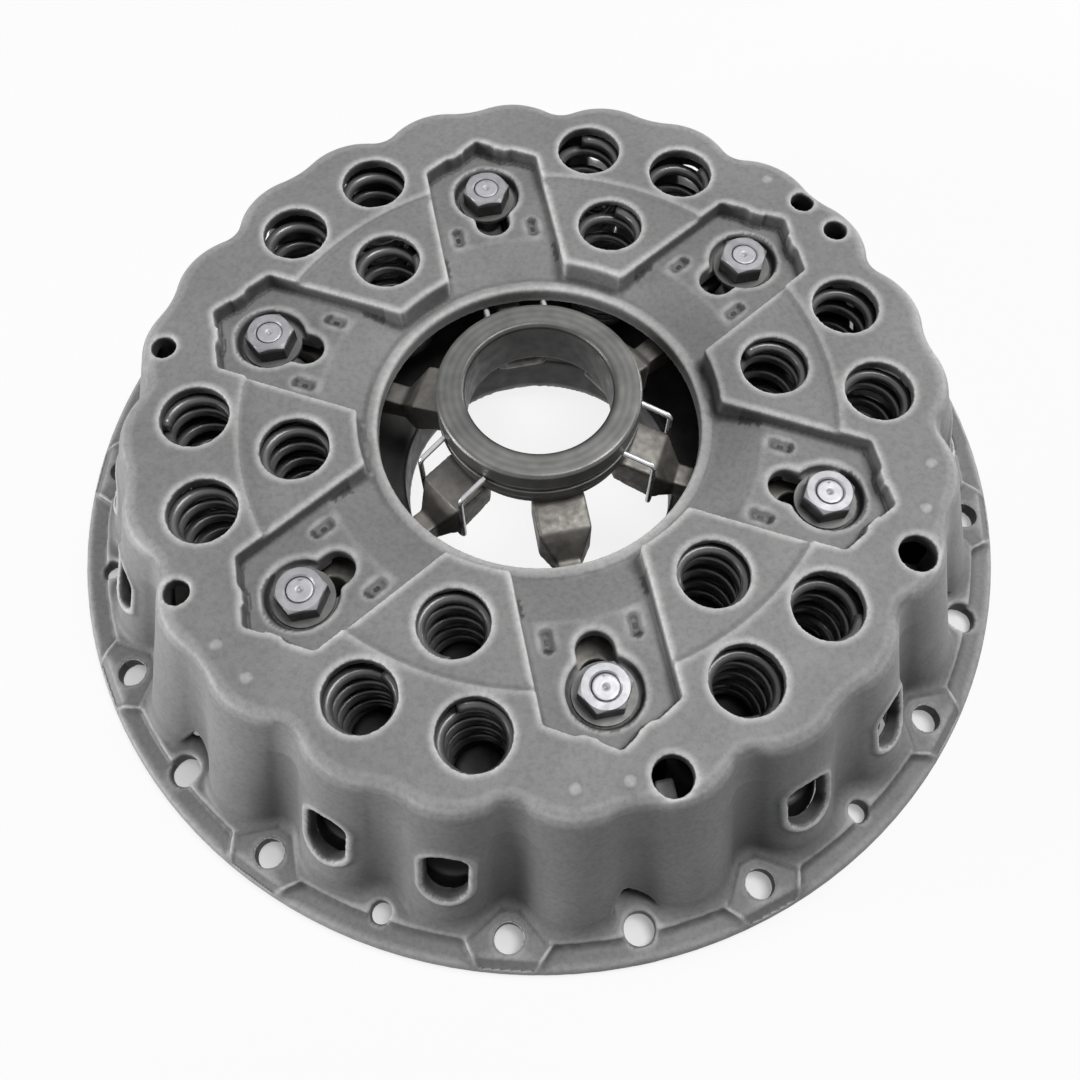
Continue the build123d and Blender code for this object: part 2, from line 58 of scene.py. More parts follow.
MIDDLE_ANGLES = [angle - SECTOR / 2 for angle in LEVER_ANGLES]
BOLT_ANGLES = [angle + side * SECTOR / 4 for angle in LEVER_ANGLES for side in (-1, 1)]
WINDOW_ANGLES = [angle + side * SECTOR / 8 for angle in MIDDLE_ANGLES for side in (-1, 1)]
FLANGE_RADIUS = 0.230
FLANGE_TOP = 0.0105
FLANGE_STEP = 0.2185
RIM_TOP = 0.007
BOLT_CIRCLE = 0.216
COVER_TOP = 0.094
BAND_UNDERSIDE = 0.086
POCKET_FLOOR = 0.0845
FOOT_LOBE = 0.215
CROWN_LOBE = 0.1835
WALL_LEAN = (FOOT_LOBE - CROWN_LOBE) / (COVER_TOP - FLANGE_TOP)
WINDOW_HEIGHT = 0.048
WINDOW_HALF_RUN = 0.008
FULCRUM_RADIUS = 0.132
SPRING_COUNT = 18
SPRING_WIRE = 0.0056
SPRING_TURNS = 4.9
COVER_NODES = ["cover_flange", "cover_wall", "cover_band", "cover_trays"]


def polar(radius, angle, height=0.0):
    """The point at a radius and an angle round the clutch axis."""
    turn = math.radians(angle)
    return Vector((radius * math.cos(turn), radius * math.sin(turn), height))


def clamped(value):
    """A value kept between zero and one."""
    return min(max(value, 0.0), 1.0)


def link(tree, source, target):
    """Joins two sockets of a node tree."""
    tree.links.new(source, target)


def new_node(tree, kind, inputs=None, **settings):
    """Adds a shader node with its settings and its sockets' values."""
    node = tree.nodes.new(kind)
    for key, value in settings.items():
        setattr(node, key, value)
    for key, value in (inputs or {}).items():
        node.inputs[key].default_value = value
    return node


def ramp(tree, source, stops):
    """A colour ramp from (position, grey or colour) stops."""
    node = tree.nodes.new("ShaderNodeValToRGB")
    elements = node.color_ramp.elements
    while len(elements) < len(stops):
        elements.new(0.5)
    for element, (position, colour) in zip(elements, stops):
        element.position = position
        colour = colour if isinstance(colour, tuple) else (colour, colour, colour)
        element.color = (*colour, 1)
    link(tree, source, node.inputs[0])
    return node.outputs[0]


def noise(tree, scale, detail=3.0, roughness=0.5):
    """Noise over the object's own coordinates, with scale in features per metre."""
    coords = tree.nodes.new("ShaderNodeTexCoord")
    node = new_node(
        tree, "ShaderNodeTexNoise", {"Scale": scale, "Detail": detail, "Roughness": roughness}
    )
    link(tree, coords.outputs["Object"], node.inputs["Vector"])
    return node.outputs[0]


def mixed(tree, factor, first, second, blend="MIX"):
    """A colour mix of two sockets or colours."""
    node = tree.nodes.new("ShaderNodeMix")
    node.data_type = "RGBA"
    node.blend_type = blend
    for value, socket in ((factor, node.inputs[0]), (first, node.inputs[6]), (second, node.inputs[7])):
        if isinstance(value, bpy.types.NodeSocket):
            link(tree, value, socket)
        elif isinstance(value, tuple):
            socket.default_value = (*value, 1)
        else:
            socket.default_value = value
    return node.outputs[2]


def bumped(tree, layers):
    """A chain of bump nodes from (height socket, strength, distance) layers."""
    normal = None
    for height, strength, distance in layers:
        node = new_node(tree, "ShaderNodeBump", {"Strength": strength, "Distance": distance})
        link(tree, height, node.inputs["Height"])
        if normal:
            link(tree, normal, node.inputs["Normal"])
        normal = node.outputs[0]
    return normal


def surface(name, metallic=0.0, coat=0.0, coat_roughness=0.1, specular=0.5):
    """A new material's tree and its shader, with the constants on the shader's own sockets."""
    material = bpy.data.materials.new(name)
    material.use_nodes = True
    tree = material.node_tree
    shader = tree.nodes["Principled BSDF"]
    shader.inputs["Metallic"].default_value = metallic
    shader.inputs["Coat Weight"].default_value = coat
    shader.inputs["Coat Roughness"].default_value = coat_roughness
    shader.inputs["Specular IOR Level"].default_value = specular
    return material, tree, shader


def turned_rings(tree, spacing):
    """Fine rings round the clutch axis, as a lathe leaves them."""
    coords = tree.nodes.new("ShaderNodeTexCoord")
    node = new_node(
        tree,
        "ShaderNodeTexWave",
        {"Scale": 1 / (spacing * 20), "Distortion": 0.6, "Detail": 2.0},
        wave_type="RINGS",
        rings_direction="Z",
    )
    link(tree, coords.outputs["Object"], node.inputs["Vector"])
    return node.outputs[1]


def height_ramp(tree, stops):
    """A ramp over the height of a point above the mounting face, in metres."""
    coords = tree.nodes.new("ShaderNodeTexCoord")
    parts = tree.nodes.new("ShaderNodeSeparateXYZ")
    link(tree, coords.outputs["Object"], parts.inputs[0])
    return ramp(tree, parts.outputs[2], stops)


def painted_casting():
    """Grey paint over a sand casting: grain and lumps, with painted highlights on outer edges and painted
    shade in inner corners and insides.
    """
    material, tree, shader = surface("painted_casting", coat=0.05, coat_roughness=0.4, specular=0.3)
    paint = [(0.3, (0.21, 0.212, 0.208)), (0.7, (0.262, 0.265, 0.26))]
    blotches = ramp(tree, noise(tree, 18, 5), paint)
    specks = ramp(tree, noise(tree, 420, 3, 0.7), [(0.36, 0.86), (0.5, 1.0), (0.68, 1.1)])
    colour = mixed(tree, 1.0, blotches, specks, "MULTIPLY")
    # Painted highlight: outer edges lightened up to 2.7 times; painted shade: inner corners darkened to a
    # quarter.
    edge = new_node(tree, "ShaderNodeAttribute", attribute_name="edge")
    edge_highlight_and_shade = [(0.1, 0.25), (0.42, 1.0), (0.53, 1.0), (0.68, 1.9), (0.85, 2.7)]
    edges = ramp(tree, edge.outputs["Fac"], edge_highlight_and_shade)
    colour = mixed(tree, 1.0, colour, edges, "MULTIPLY")
    # Painted shade: the cover's inside, the walls of its holes, windows and pockets, its wall valleys and
    # its flange are darkened down to 0.35.
    painted_shade = new_node(tree, "ShaderNodeAttribute", attribute_name="painted_shade")
    shade = ramp(tree, painted_shade.outputs["Fac"], [(0.0, 1.0), (1.0, 0.35)])
    link(tree, mixed(tree, 1.0, colour, shade, "MULTIPLY"), shader.inputs["Base Color"])
    link(tree, ramp(tree, noise(tree, 60, 4), [(0.3, 0.46), (0.7, 0.6)]), shader.inputs["Roughness"])
    lumps, grain = noise(tree, 90, 4), noise(tree, 900, 3, 0.6)
    normal = bumped(tree, [(lumps, 0.3, 0.0008), (grain, 0.25, 0.0002)])
    link(tree, normal, shader.inputs["Normal"])
    return material


def black_spring():
    """Glossy dark paint on spring wire."""
    material, tree, shader = surface("black_spring", coat=0.5, coat_roughness=0.2)
    colour = ramp(tree, noise(tree, 60, 4), [(0.3, (0.085, 0.087, 0.085)), (0.7, (0.13, 0.132, 0.13))])
    link(tree, colour, shader.inputs["Base Color"])
    link(tree, ramp(tree, noise(tree, 150, 3), [(0.3, 0.25), (0.7, 0.4)]), shader.inputs["Roughness"])
    link(tree, bumped(tree, [(noise(tree, 700, 3), 0.15, 0.0002)]), shader.inputs["Normal"])
    return material


def steel(name, dark, light, rough=(0.25, 0.45), metallic=0.85, grain=500, depth=0.0001):
    """Bare or plated steel, blotched between two colours."""
    material, tree, shader = surface(name, metallic=metallic)
    blotches = ramp(tree, noise(tree, 130, 5, 0.6), [(0.3, dark), (0.7, light)])
    link(tree, blotches, shader.inputs["Base Color"])
    roughness = ramp(tree, noise(tree, 300, 3), [(0.3, rough[0]), (0.7, rough[1])])
    link(tree, roughness, shader.inputs["Roughness"])
    link(tree, bumped(tree, [(noise(tree, grain, 4, 0.6), 0.3, depth)]), shader.inputs["Normal"])
    return material


def bright_nut():
    """Bright plated top over sides painted dark as shade."""
    material, tree, shader = surface("bright_zinc", metallic=0.6)
    zinc = [(0.3, (0.3, 0.3, 0.315)), (0.7, (0.43, 0.43, 0.45))]
    bright = ramp(tree, noise(tree, 160, 5, 0.6), zinc)
    # Painted shade: the nut's sides below its top are darkened to 0.03-0.08.
    painted_shade_sides = ramp(tree, noise(tree, 200, 4), [(0.3, 0.03), (0.7, 0.08)])
    share = height_ramp(tree, [(0.0878, 0.0), (0.0887, 1.0)])
    link(tree, mixed(tree, share, painted_shade_sides, bright), shader.inputs["Base Color"])
    link(tree, ramp(tree, noise(tree, 300, 3), [(0.3, 0.36), (0.7, 0.5)]), shader.inputs["Roughness"])
    link(tree, bumped(tree, [(noise(tree, 700, 4, 0.6), 0.3, 0.0001)]), shader.inputs["Normal"])
    return material


def turned_steel():
    """Dark steel of the release ring, with lathe marks and painted shade in its bore."""
    material, tree, shader = surface("turned_steel", metallic=0.75)
    blotches = ramp(tree, noise(tree, 90, 4), [(0.3, (0.1, 0.1, 0.1)), (0.7, (0.15, 0.148, 0.142))])
    rings = ramp(tree, turned_rings(tree, 0.0005), [(0.0, 0.9), (1.0, 1.08)])
    marked = mixed(tree, 1.0, blotches, rings, "MULTIPLY")
    coords = tree.nodes.new("ShaderNodeTexCoord")
    flat = new_node(tree, "ShaderNodeVectorMath", {1: (1, 1, 0)}, operation="MULTIPLY")
    link(tree, coords.outputs["Object"], flat.inputs[0])
    distance = new_node(tree, "ShaderNodeVectorMath", operation="LENGTH")
    link(tree, flat.outputs[0], distance.inputs[0])
    # Painted shade: the bore inside the ring is darkened to 0.18.
    bore = ramp(tree, distance.outputs["Value"], [(0.0328, 0.18), (0.0336, 1.0)])
    link(tree, mixed(tree, 1.0, marked, bore, "MULTIPLY"), shader.inputs["Base Color"])
    link(tree, ramp(tree, noise(tree, 200, 3), [(0.3, 0.34), (0.7, 0.5)]), shader.inputs["Roughness"])
    marks, grain = turned_rings(tree, 0.0005), noise(tree, 800, 3)
    normal = bumped(tree, [(marks, 0.1, 0.0001), (grain, 0.1, 0.0001)])
    link(tree, normal, shader.inputs["Normal"])
    return material


def ground_iron():
    """Grey iron of the pressure plate: ground face, and a cast back painted dark as shade."""
    material, tree, shader = surface("ground_iron", metallic=0.5)
    ground = ramp(tree, noise(tree, 50, 5), [(0.3, (0.2, 0.2, 0.197)), (0.7, (0.3, 0.298, 0.29))])
    rings = ramp(tree, turned_rings(tree, 0.0009), [(0.0, 0.85), (1.0, 1.1)])
    face = mixed(tree, 1.0, ground, rings, "MULTIPLY")
    # Painted shade: the back above the face is made far darker than cast iron, so that the plate shows dark
    # through the windows and the hub.
    cast = ramp(tree, noise(tree, 70, 5), [(0.3, (0.03, 0.03, 0.03)), (0.7, (0.055, 0.054, 0.052))])
    share = height_ramp(tree, [(0.0080, 0.0), (0.0086, 1.0)])
    link(tree, mixed(tree, share, face, cast), shader.inputs["Base Color"])
    link(tree, ramp(tree, noise(tree, 120, 3), [(0.3, 0.4), (0.7, 0.6)]), shader.inputs["Roughness"])
    marks, grain = turned_rings(tree, 0.0009), noise(tree, 500, 3)
    normal = bumped(tree, [(marks, 0.12, 0.0001), (grain, 0.25, 0.0002)])
    link(tree, normal, shader.inputs["Normal"])
    return material


def mesh_object(name, mesh, material, smooth=True):
    """An object at the origin that holds a mesh and one material."""
    mesh.materials.clear()
    mesh.materials.append(material)
    for polygon in mesh.polygons:
        polygon.use_smooth = smooth
    obj = bpy.data.objects.new(name, mesh)
    bpy.context.scene.collection.objects.link(obj)
    return obj


def applied(obj):
    """Replaces an object's mesh by what its modifiers make of it."""
    evaluated = obj.evaluated_get(bpy.context.evaluated_depsgraph_get())
    mesh = bpy.data.meshes.new_from_object(evaluated)
    obj.modifiers.clear()
    obj.data = mesh
    return obj


def welded_copy(nodes):
    """One bmesh of the solids of some CAD nodes, their split edges joined."""
    result = bmesh.new()
    for node in nodes:
        result.from_mesh(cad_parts[node].data)
    bmesh.ops.remove_doubles(result, verts=result.verts, dist=1e-6)
    return result


def cast_form(name, solid, voxel, rounds, material):
    """A seamless casting or forging over a bmesh: its edges run soft, as in a mould."""
    mesh = bpy.data.meshes.new(name)
    solid.to_mesh(mesh)
    solid.free()
    obj = mesh_object(name, mesh, material)
    remesh = obj.modifiers.new("skin", "REMESH")
    remesh.mode = "VOXEL"
    remesh.voxel_size = voxel
    smooth = obj.modifiers.new("soften", "SMOOTH")
    smooth.factor = 0.5
    smooth.iterations = rounds
    applied(obj)
    for polygon in obj.data.polygons:
        polygon.use_smooth = True
    obj.data.materials.clear()
    obj.data.materials.append(material)
    return obj


def tube(solid, path, radius, sides=10, closed=False, low=None, high=None):
    """Adds a round tube along a path to a bmesh, its ends capped and its heights kept in bounds."""
    count = len(path)
    rings = []
    normal = None
    for index, point in enumerate(path):
        ahead = path[(index + 1) % count] if closed or index + 1 < count else point
        behind = path[index - 1] if closed or index else point
        tangent = (ahead - behind).normalized()
        if normal is None:
            normal = tangent.orthogonal().normalized()
        normal = (normal - tangent * normal.dot(tangent)).normalized()
        side = tangent.cross(normal)
        ring = []
        for step in range(sides):
            turn = 2 * math.pi * step / sides
            place = point + (normal * math.cos(turn) + side * math.sin(turn)) * radius
            if low is not None:
                place.z = min(max(place.z, low), high)
            ring.append(solid.verts.new(place))
        rings.append(ring)
    pairs = list(zip(rings, rings[1:]))
    if closed:
        pairs.append((rings[-1], rings[0]))
    else:
        solid.faces.new(list(reversed(rings[0])))
        solid.faces.new(rings[-1])
    for first, second in pairs:
        for step in range(sides):
            following = (step + 1) % sides
            solid.faces.new((first[step], first[following], second[following], second[step]))


def prism(solid, corners, low, high):
    """Adds an upright prism over a plan outline to a bmesh, high at one height or one per corner."""
    count = len(corners)
    tops = high if isinstance(high, list) else [high] * count
    rings = [
        [solid.verts.new((corner.x, corner.y, low)) for corner in corners],
        [solid.verts.new((corner.x, corner.y, top)) for corner, top in zip(corners, tops)],
    ]
    solid.faces.new(list(reversed(rings[0])))
    solid.faces.new(rings[1])
    for index in range(count):
        following = (index + 1) % count
        solid.faces.new((rings[0][index], rings[0][following], rings[1][following], rings[1][index]))


def placed(outline, angle, side=1):
    """Plan points of an outline of (along, across) pairs on a spoke, mirrored where side is -1."""
    outward, across = polar(1, angle), polar(1, angle + 90)
    places = [outward * along + across * (side * off) for along, off in outline]
    return places if side > 0 else places[::-1]


def pocket_fillers(solid, angle):
    """Draws the pocket's end to its peak, breaks its corners and backs its hook slots."""
    peak = [(0.1592, 0.0), (0.1538, 0.0085), (0.1523, 0.013), (0.165, 0.013), (0.165, 0.0)]
    corner = [(0.143, 0.0285), (0.1523, 0.013), (0.156, 0.013), (0.156, 0.0285)]
    slot = [(0.1015, 0.0155), (0.1125, 0.0155), (0.1125, 0.0215), (0.1015, 0.0215)]
    buried, slot_foot, slot_back = POCKET_FLOOR - 0.003, POCKET_FLOOR - 0.006, POCKET_FLOOR - 0.0022
    for side in (-1, 1):
        prism(solid, placed(peak, angle, side), buried, COVER_TOP)
        prism(solid, placed(corner, angle, side), buried, COVER_TOP)
        prism(solid, placed(slot, angle, side), slot_foot, slot_back)


def bolt_pads(solid):
    """Adds the raised pads under the flange bolts, which slope down to the rim."""
    foot, slope_end = 0.004, 0.0068
    hole, inside = 0.0065, 0.0015
    half_arc = math.acos(inside / hole)
    turns = [half_arc * (1 - step / 8) for step in range(17)]
    flat = [(0.2175, -0.019), (FLANGE_STEP, -0.019), (0.2245, -0.0155)]
    flat += [(0.2245, 0.0155), (FLANGE_STEP, 0.019), (0.2175, 0.019)]
    flat += [(BOLT_CIRCLE + hole * math.cos(turn), hole * math.sin(turn)) for turn in turns]
    slope = [(0.2235, -0.016), (0.2282, -0.0132), (0.2282, 0.0132), (0.2235, 0.016)]
    for angle in BOLT_ANGLES:
        prism(solid, placed(flat, angle), foot, FLANGE_TOP)
        prism(solid, placed(slope, angle), foot, [FLANGE_TOP, slope_end, slope_end, FLANGE_TOP])


def pad_depth(place, radius):
    """How far inside the outline of its bolt pad a point is, as a share of the pad's soft edge."""
    soft_edge, inner_end = 0.0016, 0.2035
    turn = (math.degrees(math.atan2(place.y, place.x)) - FIRST_LEVER_ANGLE) % SECTOR
    off = min(abs(turn - SECTOR / 4), abs(turn - 3 * SECTOR / 4))
    half_width = 0.0185 - max(FLANGE_STEP - radius, 0) * 0.95 - max(radius - FLANGE_STEP, 0) * 0.6
    aside = half_width - radius * math.radians(off)
    return min(aside / soft_edge, (radius - inner_end) / soft_edge, 1.0)


def spot_faces(obj):
    """Sinks the bolt pads a little under the raised band, and levels the one pad that has no bolt."""
    sink = 0.0009
    facing_up = [vertex.normal.z > 0.6 for vertex in obj.data.vertices]
    for vertex, level in zip(obj.data.vertices, facing_up):
        place = vertex.co
        if not 0.0065 < place.z < 0.0118:
            continue
        radius = math.hypot(place.x, place.y)
        if radius > 0.2188 and place.x > 0 and abs(place.y) < 0.0212:
            place.z = min(place.z, RIM_TOP)
        elif level and pad_depth(place, radius) > 0:
            place.z -= sink * pad_depth(place, radius)


def edge_attribute(obj):
    """Marks outer edges above a half and inner corners below it, from a smoothed copy of the mesh, for a
    painted highlight on the edges and painted shade in the corners.
    """
    count = len(obj.data.vertices)
    sharp, normals, smooth = (array("f", [0.0]) * (3 * count) for _ in range(3))
    obj.data.vertices.foreach_get("co", sharp)
    obj.data.vertices.foreach_get("normal", normals)
    soften = obj.modifiers.new("soften", "SMOOTH")
    soften.factor = 0.5
    soften.iterations = 24
    evaluated = obj.evaluated_get(bpy.context.evaluated_depsgraph_get())
    evaluated.data.vertices.foreach_get("co", smooth)
    obj.modifiers.clear()
    reach = 0.0009
    values = array("f")
    for start in range(0, 3 * count, 3):
        rise = sum((sharp[start + axis] - smooth[start + axis]) * normals[start + axis] for axis in range(3))
        values.append(clamped(0.5 + 0.5 * rise / reach))
    attribute = obj.data.attributes.new("edge", "FLOAT", "POINT")
    attribute.data.foreach_set("value", values)


def window_frame(angle):
    """The middle of a wall window with its directions round the wall and up the wall."""
    centre = polar(FOOT_LOBE - WALL_LEAN * (WINDOW_HEIGHT - FLANGE_TOP), angle, WINDOW_HEIGHT)
    outward = (polar(1, angle) + Vector((0, 0, WALL_LEAN))).normalized()
    across = polar(1, angle + 90)
    return centre, across, outward.cross(across)


def cover_holes():
    """Middles and sizes of the holes through the cover's top."""
    spring, large, small = 0.0152, 0.0082, 0.0056
    holes = [(polar(0.152, angle + side * 9), spring) for angle in MIDDLE_ANGLES for side in (-1, 1)]
    holes += [(polar(0.109, angle), spring) for angle in MIDDLE_ANGLES]
    holes += [(polar(0.1735, angle), large) for angle in (-84.5, -36.5)]
    holes += [(polar(0.1735, angle), small) for angle in (158.5, -160, 23, 30.5)]
    return holes


def in_hole(place, holes):
    """Whether a point lies on the wall of a hole in the cover's top."""
    reach = 0.0009
    for centre, size in holes:
        if math.hypot(place.x - centre.x, place.y - centre.y) < size + reach:
            return True
    return False


def in_window(place, windows):
    """Whether a point lies on the wall of a window."""
    reach = 0.0095
    for centre, across, along in windows:
        off = place - centre
        run = max(abs(off.dot(along)) - WINDOW_HALF_RUN, 0.0)
        if math.hypot(off.dot(across), run) < reach:
            return True
    return False


def wall_painted_shade(place, radius):
    """Painted shade in the wall's valleys, round its foot and over the flange."""
    valley = FOOT_LOBE - WALL_LEAN * (place.z - FLANGE_TOP) - radius - 0.0025
    foot = FLANGE_TOP + 0.008 - place.z
    return max(clamped(valley / 0.009) * 0.6, clamped(foot / 0.006) * 0.42)


def painted_shade_at(place, normal, holes, windows):
    """The share of painted shade at a point of the cover, from none to full."""
    if place.z >= COVER_TOP - 0.0011:
        return 0.0
    radius = math.hypot(place.x, place.y)
    inward = -(place.x * normal.x + place.y * normal.y) / radius
    underneath = normal.z < -0.5 and place.z > 0.002
    if 0.025 < place.z < 0.072 and radius > 0.18 and in_window(place, windows):
        return 1.0
    if place.z < BAND_UNDERSIDE - 0.001 and radius > 0.09 and (inward > 0.3 or underneath):
        return 1.0
    if 0.09 < radius < 0.19 and place.z > 0.07 and abs(normal.z) < 0.6:
        if in_hole(place, holes):
            return 1.0
        return 0.6 if place.z > POCKET_FLOOR + 0.0007 and radius < 0.17 else 0.0
    return wall_painted_shade(place, radius) if radius > 0.17 else 0.0


def painted_shade_attribute(obj):
    """Marks painted shade over the inside of the cover, the walls of its holes and windows, and its valleys.
    """
    holes = cover_holes()
    windows = [window_frame(angle) for angle in WINDOW_ANGLES]
    places = obj.data.vertices
    values = array("f", [painted_shade_at(vertex.co, vertex.normal, holes, windows) for vertex in places])
    attribute = obj.data.attributes.new("painted_shade", "FLOAT", "POINT")
    attribute.data.foreach_set("value", values)


def window_lip(solid, tree, angle):
    """Adds the raised lip round a wall window, laid on the wall that the tree holds."""
    half_width, lip_radius, points = 0.0112, 0.0019, 48
    centre, across, along = window_frame(angle)
    outward = across.cross(along)
    path = []
    for step in range(points):
        turn = 2 * math.pi * step / points
        shift = WINDOW_HALF_RUN if math.sin(turn) > 0 else -WINDOW_HALF_RUN
        rise = half_width * math.sin(turn) + shift
        place = centre + across * half_width * math.cos(turn) + along * rise
        hit = tree.ray_cast(place + outward * 0.02, -outward)[0]
        path.append((hit if hit else place) - outward * 0.0006)
    tube(solid, path, lip_radius, closed=True)


def cover_casting(material):
    """The cover as one casting, with window lips, pocket ends and bolt pads."""
    solid = welded_copy(COVER_NODES)
    tree = BVHTree.FromBMesh(solid)
    for angle in WINDOW_ANGLES:
        window_lip(solid, tree, angle)
    for angle in LEVER_ANGLES:
        pocket_fillers(solid, angle)
    bolt_pads(solid)
    obj = cast_form("cover_casting", solid, 0.0011, 5, material)
    spot_faces(obj)
    edge_attribute(obj)
    painted_shade_attribute(obj)
    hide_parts(*COVER_NODES)
    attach(obj, "cover_body")


def coil_path(number, low, high):
    """Points along the wire of a spring, its end turns closed."""
    centre = (low + high) / 2
    coil_radius = (high.x - low.x) / 2 - SPRING_WIRE / 2
    steps = int(SPRING_TURNS * 28)
    closed_turns = 0.85
    middle_turns = SPRING_TURNS - 2 * closed_turns
    rise = high.z - low.z - SPRING_WIRE
    closed_rise = SPRING_WIRE * 0.95 * closed_turns
    path = []
    for step in range(steps + 1):
        turn = SPRING_TURNS * step / steps
        if turn < closed_turns:
            height = closed_rise * turn / closed_turns
        elif turn > SPRING_TURNS - closed_turns:
            height = rise - closed_rise * (SPRING_TURNS - turn) / closed_turns
        else:
            height = closed_rise + (rise - 2 * closed_rise) * (turn - closed_turns) / middle_turns
        swing = 2 * math.pi * turn + number * 1.1
        point = Vector((coil_radius * math.cos(swing), coil_radius * math.sin(swing), 0))
        point += Vector((centre.x, centre.y, low.z + SPRING_WIRE * 0.42 + height * 1.003))
        path.append(point)
    return path


def pressure_springs(material):
    """Closed and ground coil springs in place of the plain tubes."""
    for number in range(1, SPRING_COUNT + 1):
        node = f"pressure_spring_{number}"
        low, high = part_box(node)
        solid = bmesh.new()
        path = coil_path(number, low, high)
        tube(solid, path, SPRING_WIRE / 2, sides=14, low=low.z, high=high.z)
        mesh = bpy.data.meshes.new(node)
        bmesh.ops.recalc_face_normals(solid, faces=solid.faces)
        solid.to_mesh(mesh)
        solid.free()
        obj = mesh_object(f"coil_{node}", mesh, material)
        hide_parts(node)
        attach(obj, "cover_body")
        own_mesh(obj)


def adjusting_nuts(material):
    """Hexagons with a turned chamfer and a bored middle."""
    across_flats, bore, turned = 0.020, 0.00605, 0.0098
    samples = 96
    for number, angle in enumerate(LEVER_ANGLES, start=1):
        node = f"adjusting_nut_{number}"
        low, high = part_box(node)
        centre = polar(FULCRUM_RADIUS, angle)
        solid = bmesh.new()
        levels = [[] for _ in range(7)]
        for step in range(samples):
            turn = 360 * step / samples
            off = (turn + 30) % 60 - 30
            hexagon = across_flats / 2 / math.cos(math.radians(off))
            direction = polar(1, turn + angle)
            drop = (hexagon - turned) * math.tan(math.radians(28))
            outline = [
                (bore, low.z),
                (turned, low.z),
                (hexagon, low.z + drop * 0.6 + 0.0002),
                (hexagon, high.z - max(drop, 0) - 0.0003),
                (turned, high.z - 0.00005),
                (bore + 0.0007, high.z),
                (bore, high.z - 0.0006),
            ]
            for level, (radius, height) in zip(levels, outline):
                level.append(solid.verts.new(centre + direction * radius + Vector((0, 0, height))))
        for first, second in zip(levels, levels[1:] + levels[:1]):
            for step in range(samples):
                following = (step + 1) % samples
                solid.faces.new((first[step], first[following], second[following], second[step]))
        bmesh.ops.recalc_face_normals(solid, faces=solid.faces)
        mesh = bpy.data.meshes.new(node)
        solid.to_mesh(mesh)
        solid.free()
        obj = mesh_object(f"hex_{node}", mesh, material, smooth=False)
        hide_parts(node)
        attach(obj, "cover_body")


def eye_bolts(material):
    """Forged eyes with a rolled thread on the shank and a centre mark in the end."""
    pitch, depth = 0.00175, 0.0005
    for number, angle in enumerate(LEVER_ANGLES, start=1):
        node = f"eye_bolt_{number}"
        low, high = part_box(node)
        obj = cast_form(f"forged_{node}", welded_copy([node]), 0.00045, 3, material)
        centre = polar(FULCRUM_RADIUS, angle)
        for vertex in obj.data.vertices:
            offset = Vector((vertex.co.x - centre.x, vertex.co.y - centre.y, 0))
            radius = offset.length
            if vertex.co.z > 0.070 and radius > 0.0045:
                phase = (vertex.co.z / pitch + math.atan2(offset.y, offset.x) / (2 * math.pi)) % 1
                vertex.co -= offset.normalized() * depth * abs(2 * phase - 1)
            elif vertex.co.z > high.z - 0.001 and radius < 0.0016:
                vertex.co.z -= (0.0016 - radius) * 0.9
        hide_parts(node)
        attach(obj, "cover_body")


def forged_levers(material):
    """Levers with the soft edges of a forging."""
    for number in range(1, LEVER_COUNT + 1):
        node = f"release_lever_{number}"
        obj = cast_form(f"forged_{node}", welded_copy([node]), 0.0007, 5, material)
        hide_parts(node)
        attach(obj, f"lever_{number}_body")


def plate_casting(material):
    """The pressure plate with cast edges."""
    obj = cast_form("plate_casting", welded_copy(["pressure_plate"]), 0.0012, 3, material)
    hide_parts("pressure_plate")
    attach(obj, "plate_body")


def turned_ring(material):
    """The release ring with broken edges."""
    obj = cast_form("turned_release_ring", welded_copy(["release_ring"]), 0.0005, 3, material)
    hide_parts("release_ring")
    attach(obj, "ring_body")


def finish_node(node, material):
    """Gives a CAD node its material."""
    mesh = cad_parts[node].data
    mesh.materials.clear()
    mesh.materials.append(material)


def small_parts(materials):
    """Materials of the CAD nodes that stay as they are."""
    finish_node("nut_washers", materials["washer"])
    finish_node("fulcrum_pins", materials["pin"])
    finish_node("load_pins", materials["pin"])
    finish_node("ring_clips", materials["wire"])
    for number in range(1, LEVER_COUNT + 1):
        finish_node(f"lever_spring_{number}", materials["dull_wire"])


def seen_directly(tree):
    """One for rays of the camera, of mirrors and of glass, zero for light itself."""
    paths = tree.nodes.new("ShaderNodeLightPath")
    total = paths.outputs["Is Camera Ray"]
    for name in ("Is Glossy Ray", "Is Transmission Ray"):
        larger = new_node(tree, "ShaderNodeMath", operation="MAXIMUM")
        link(tree, total, larger.inputs[0])
        link(tree, paths.outputs[name], larger.inputs[1])
        total = larger.outputs[0]
    return total


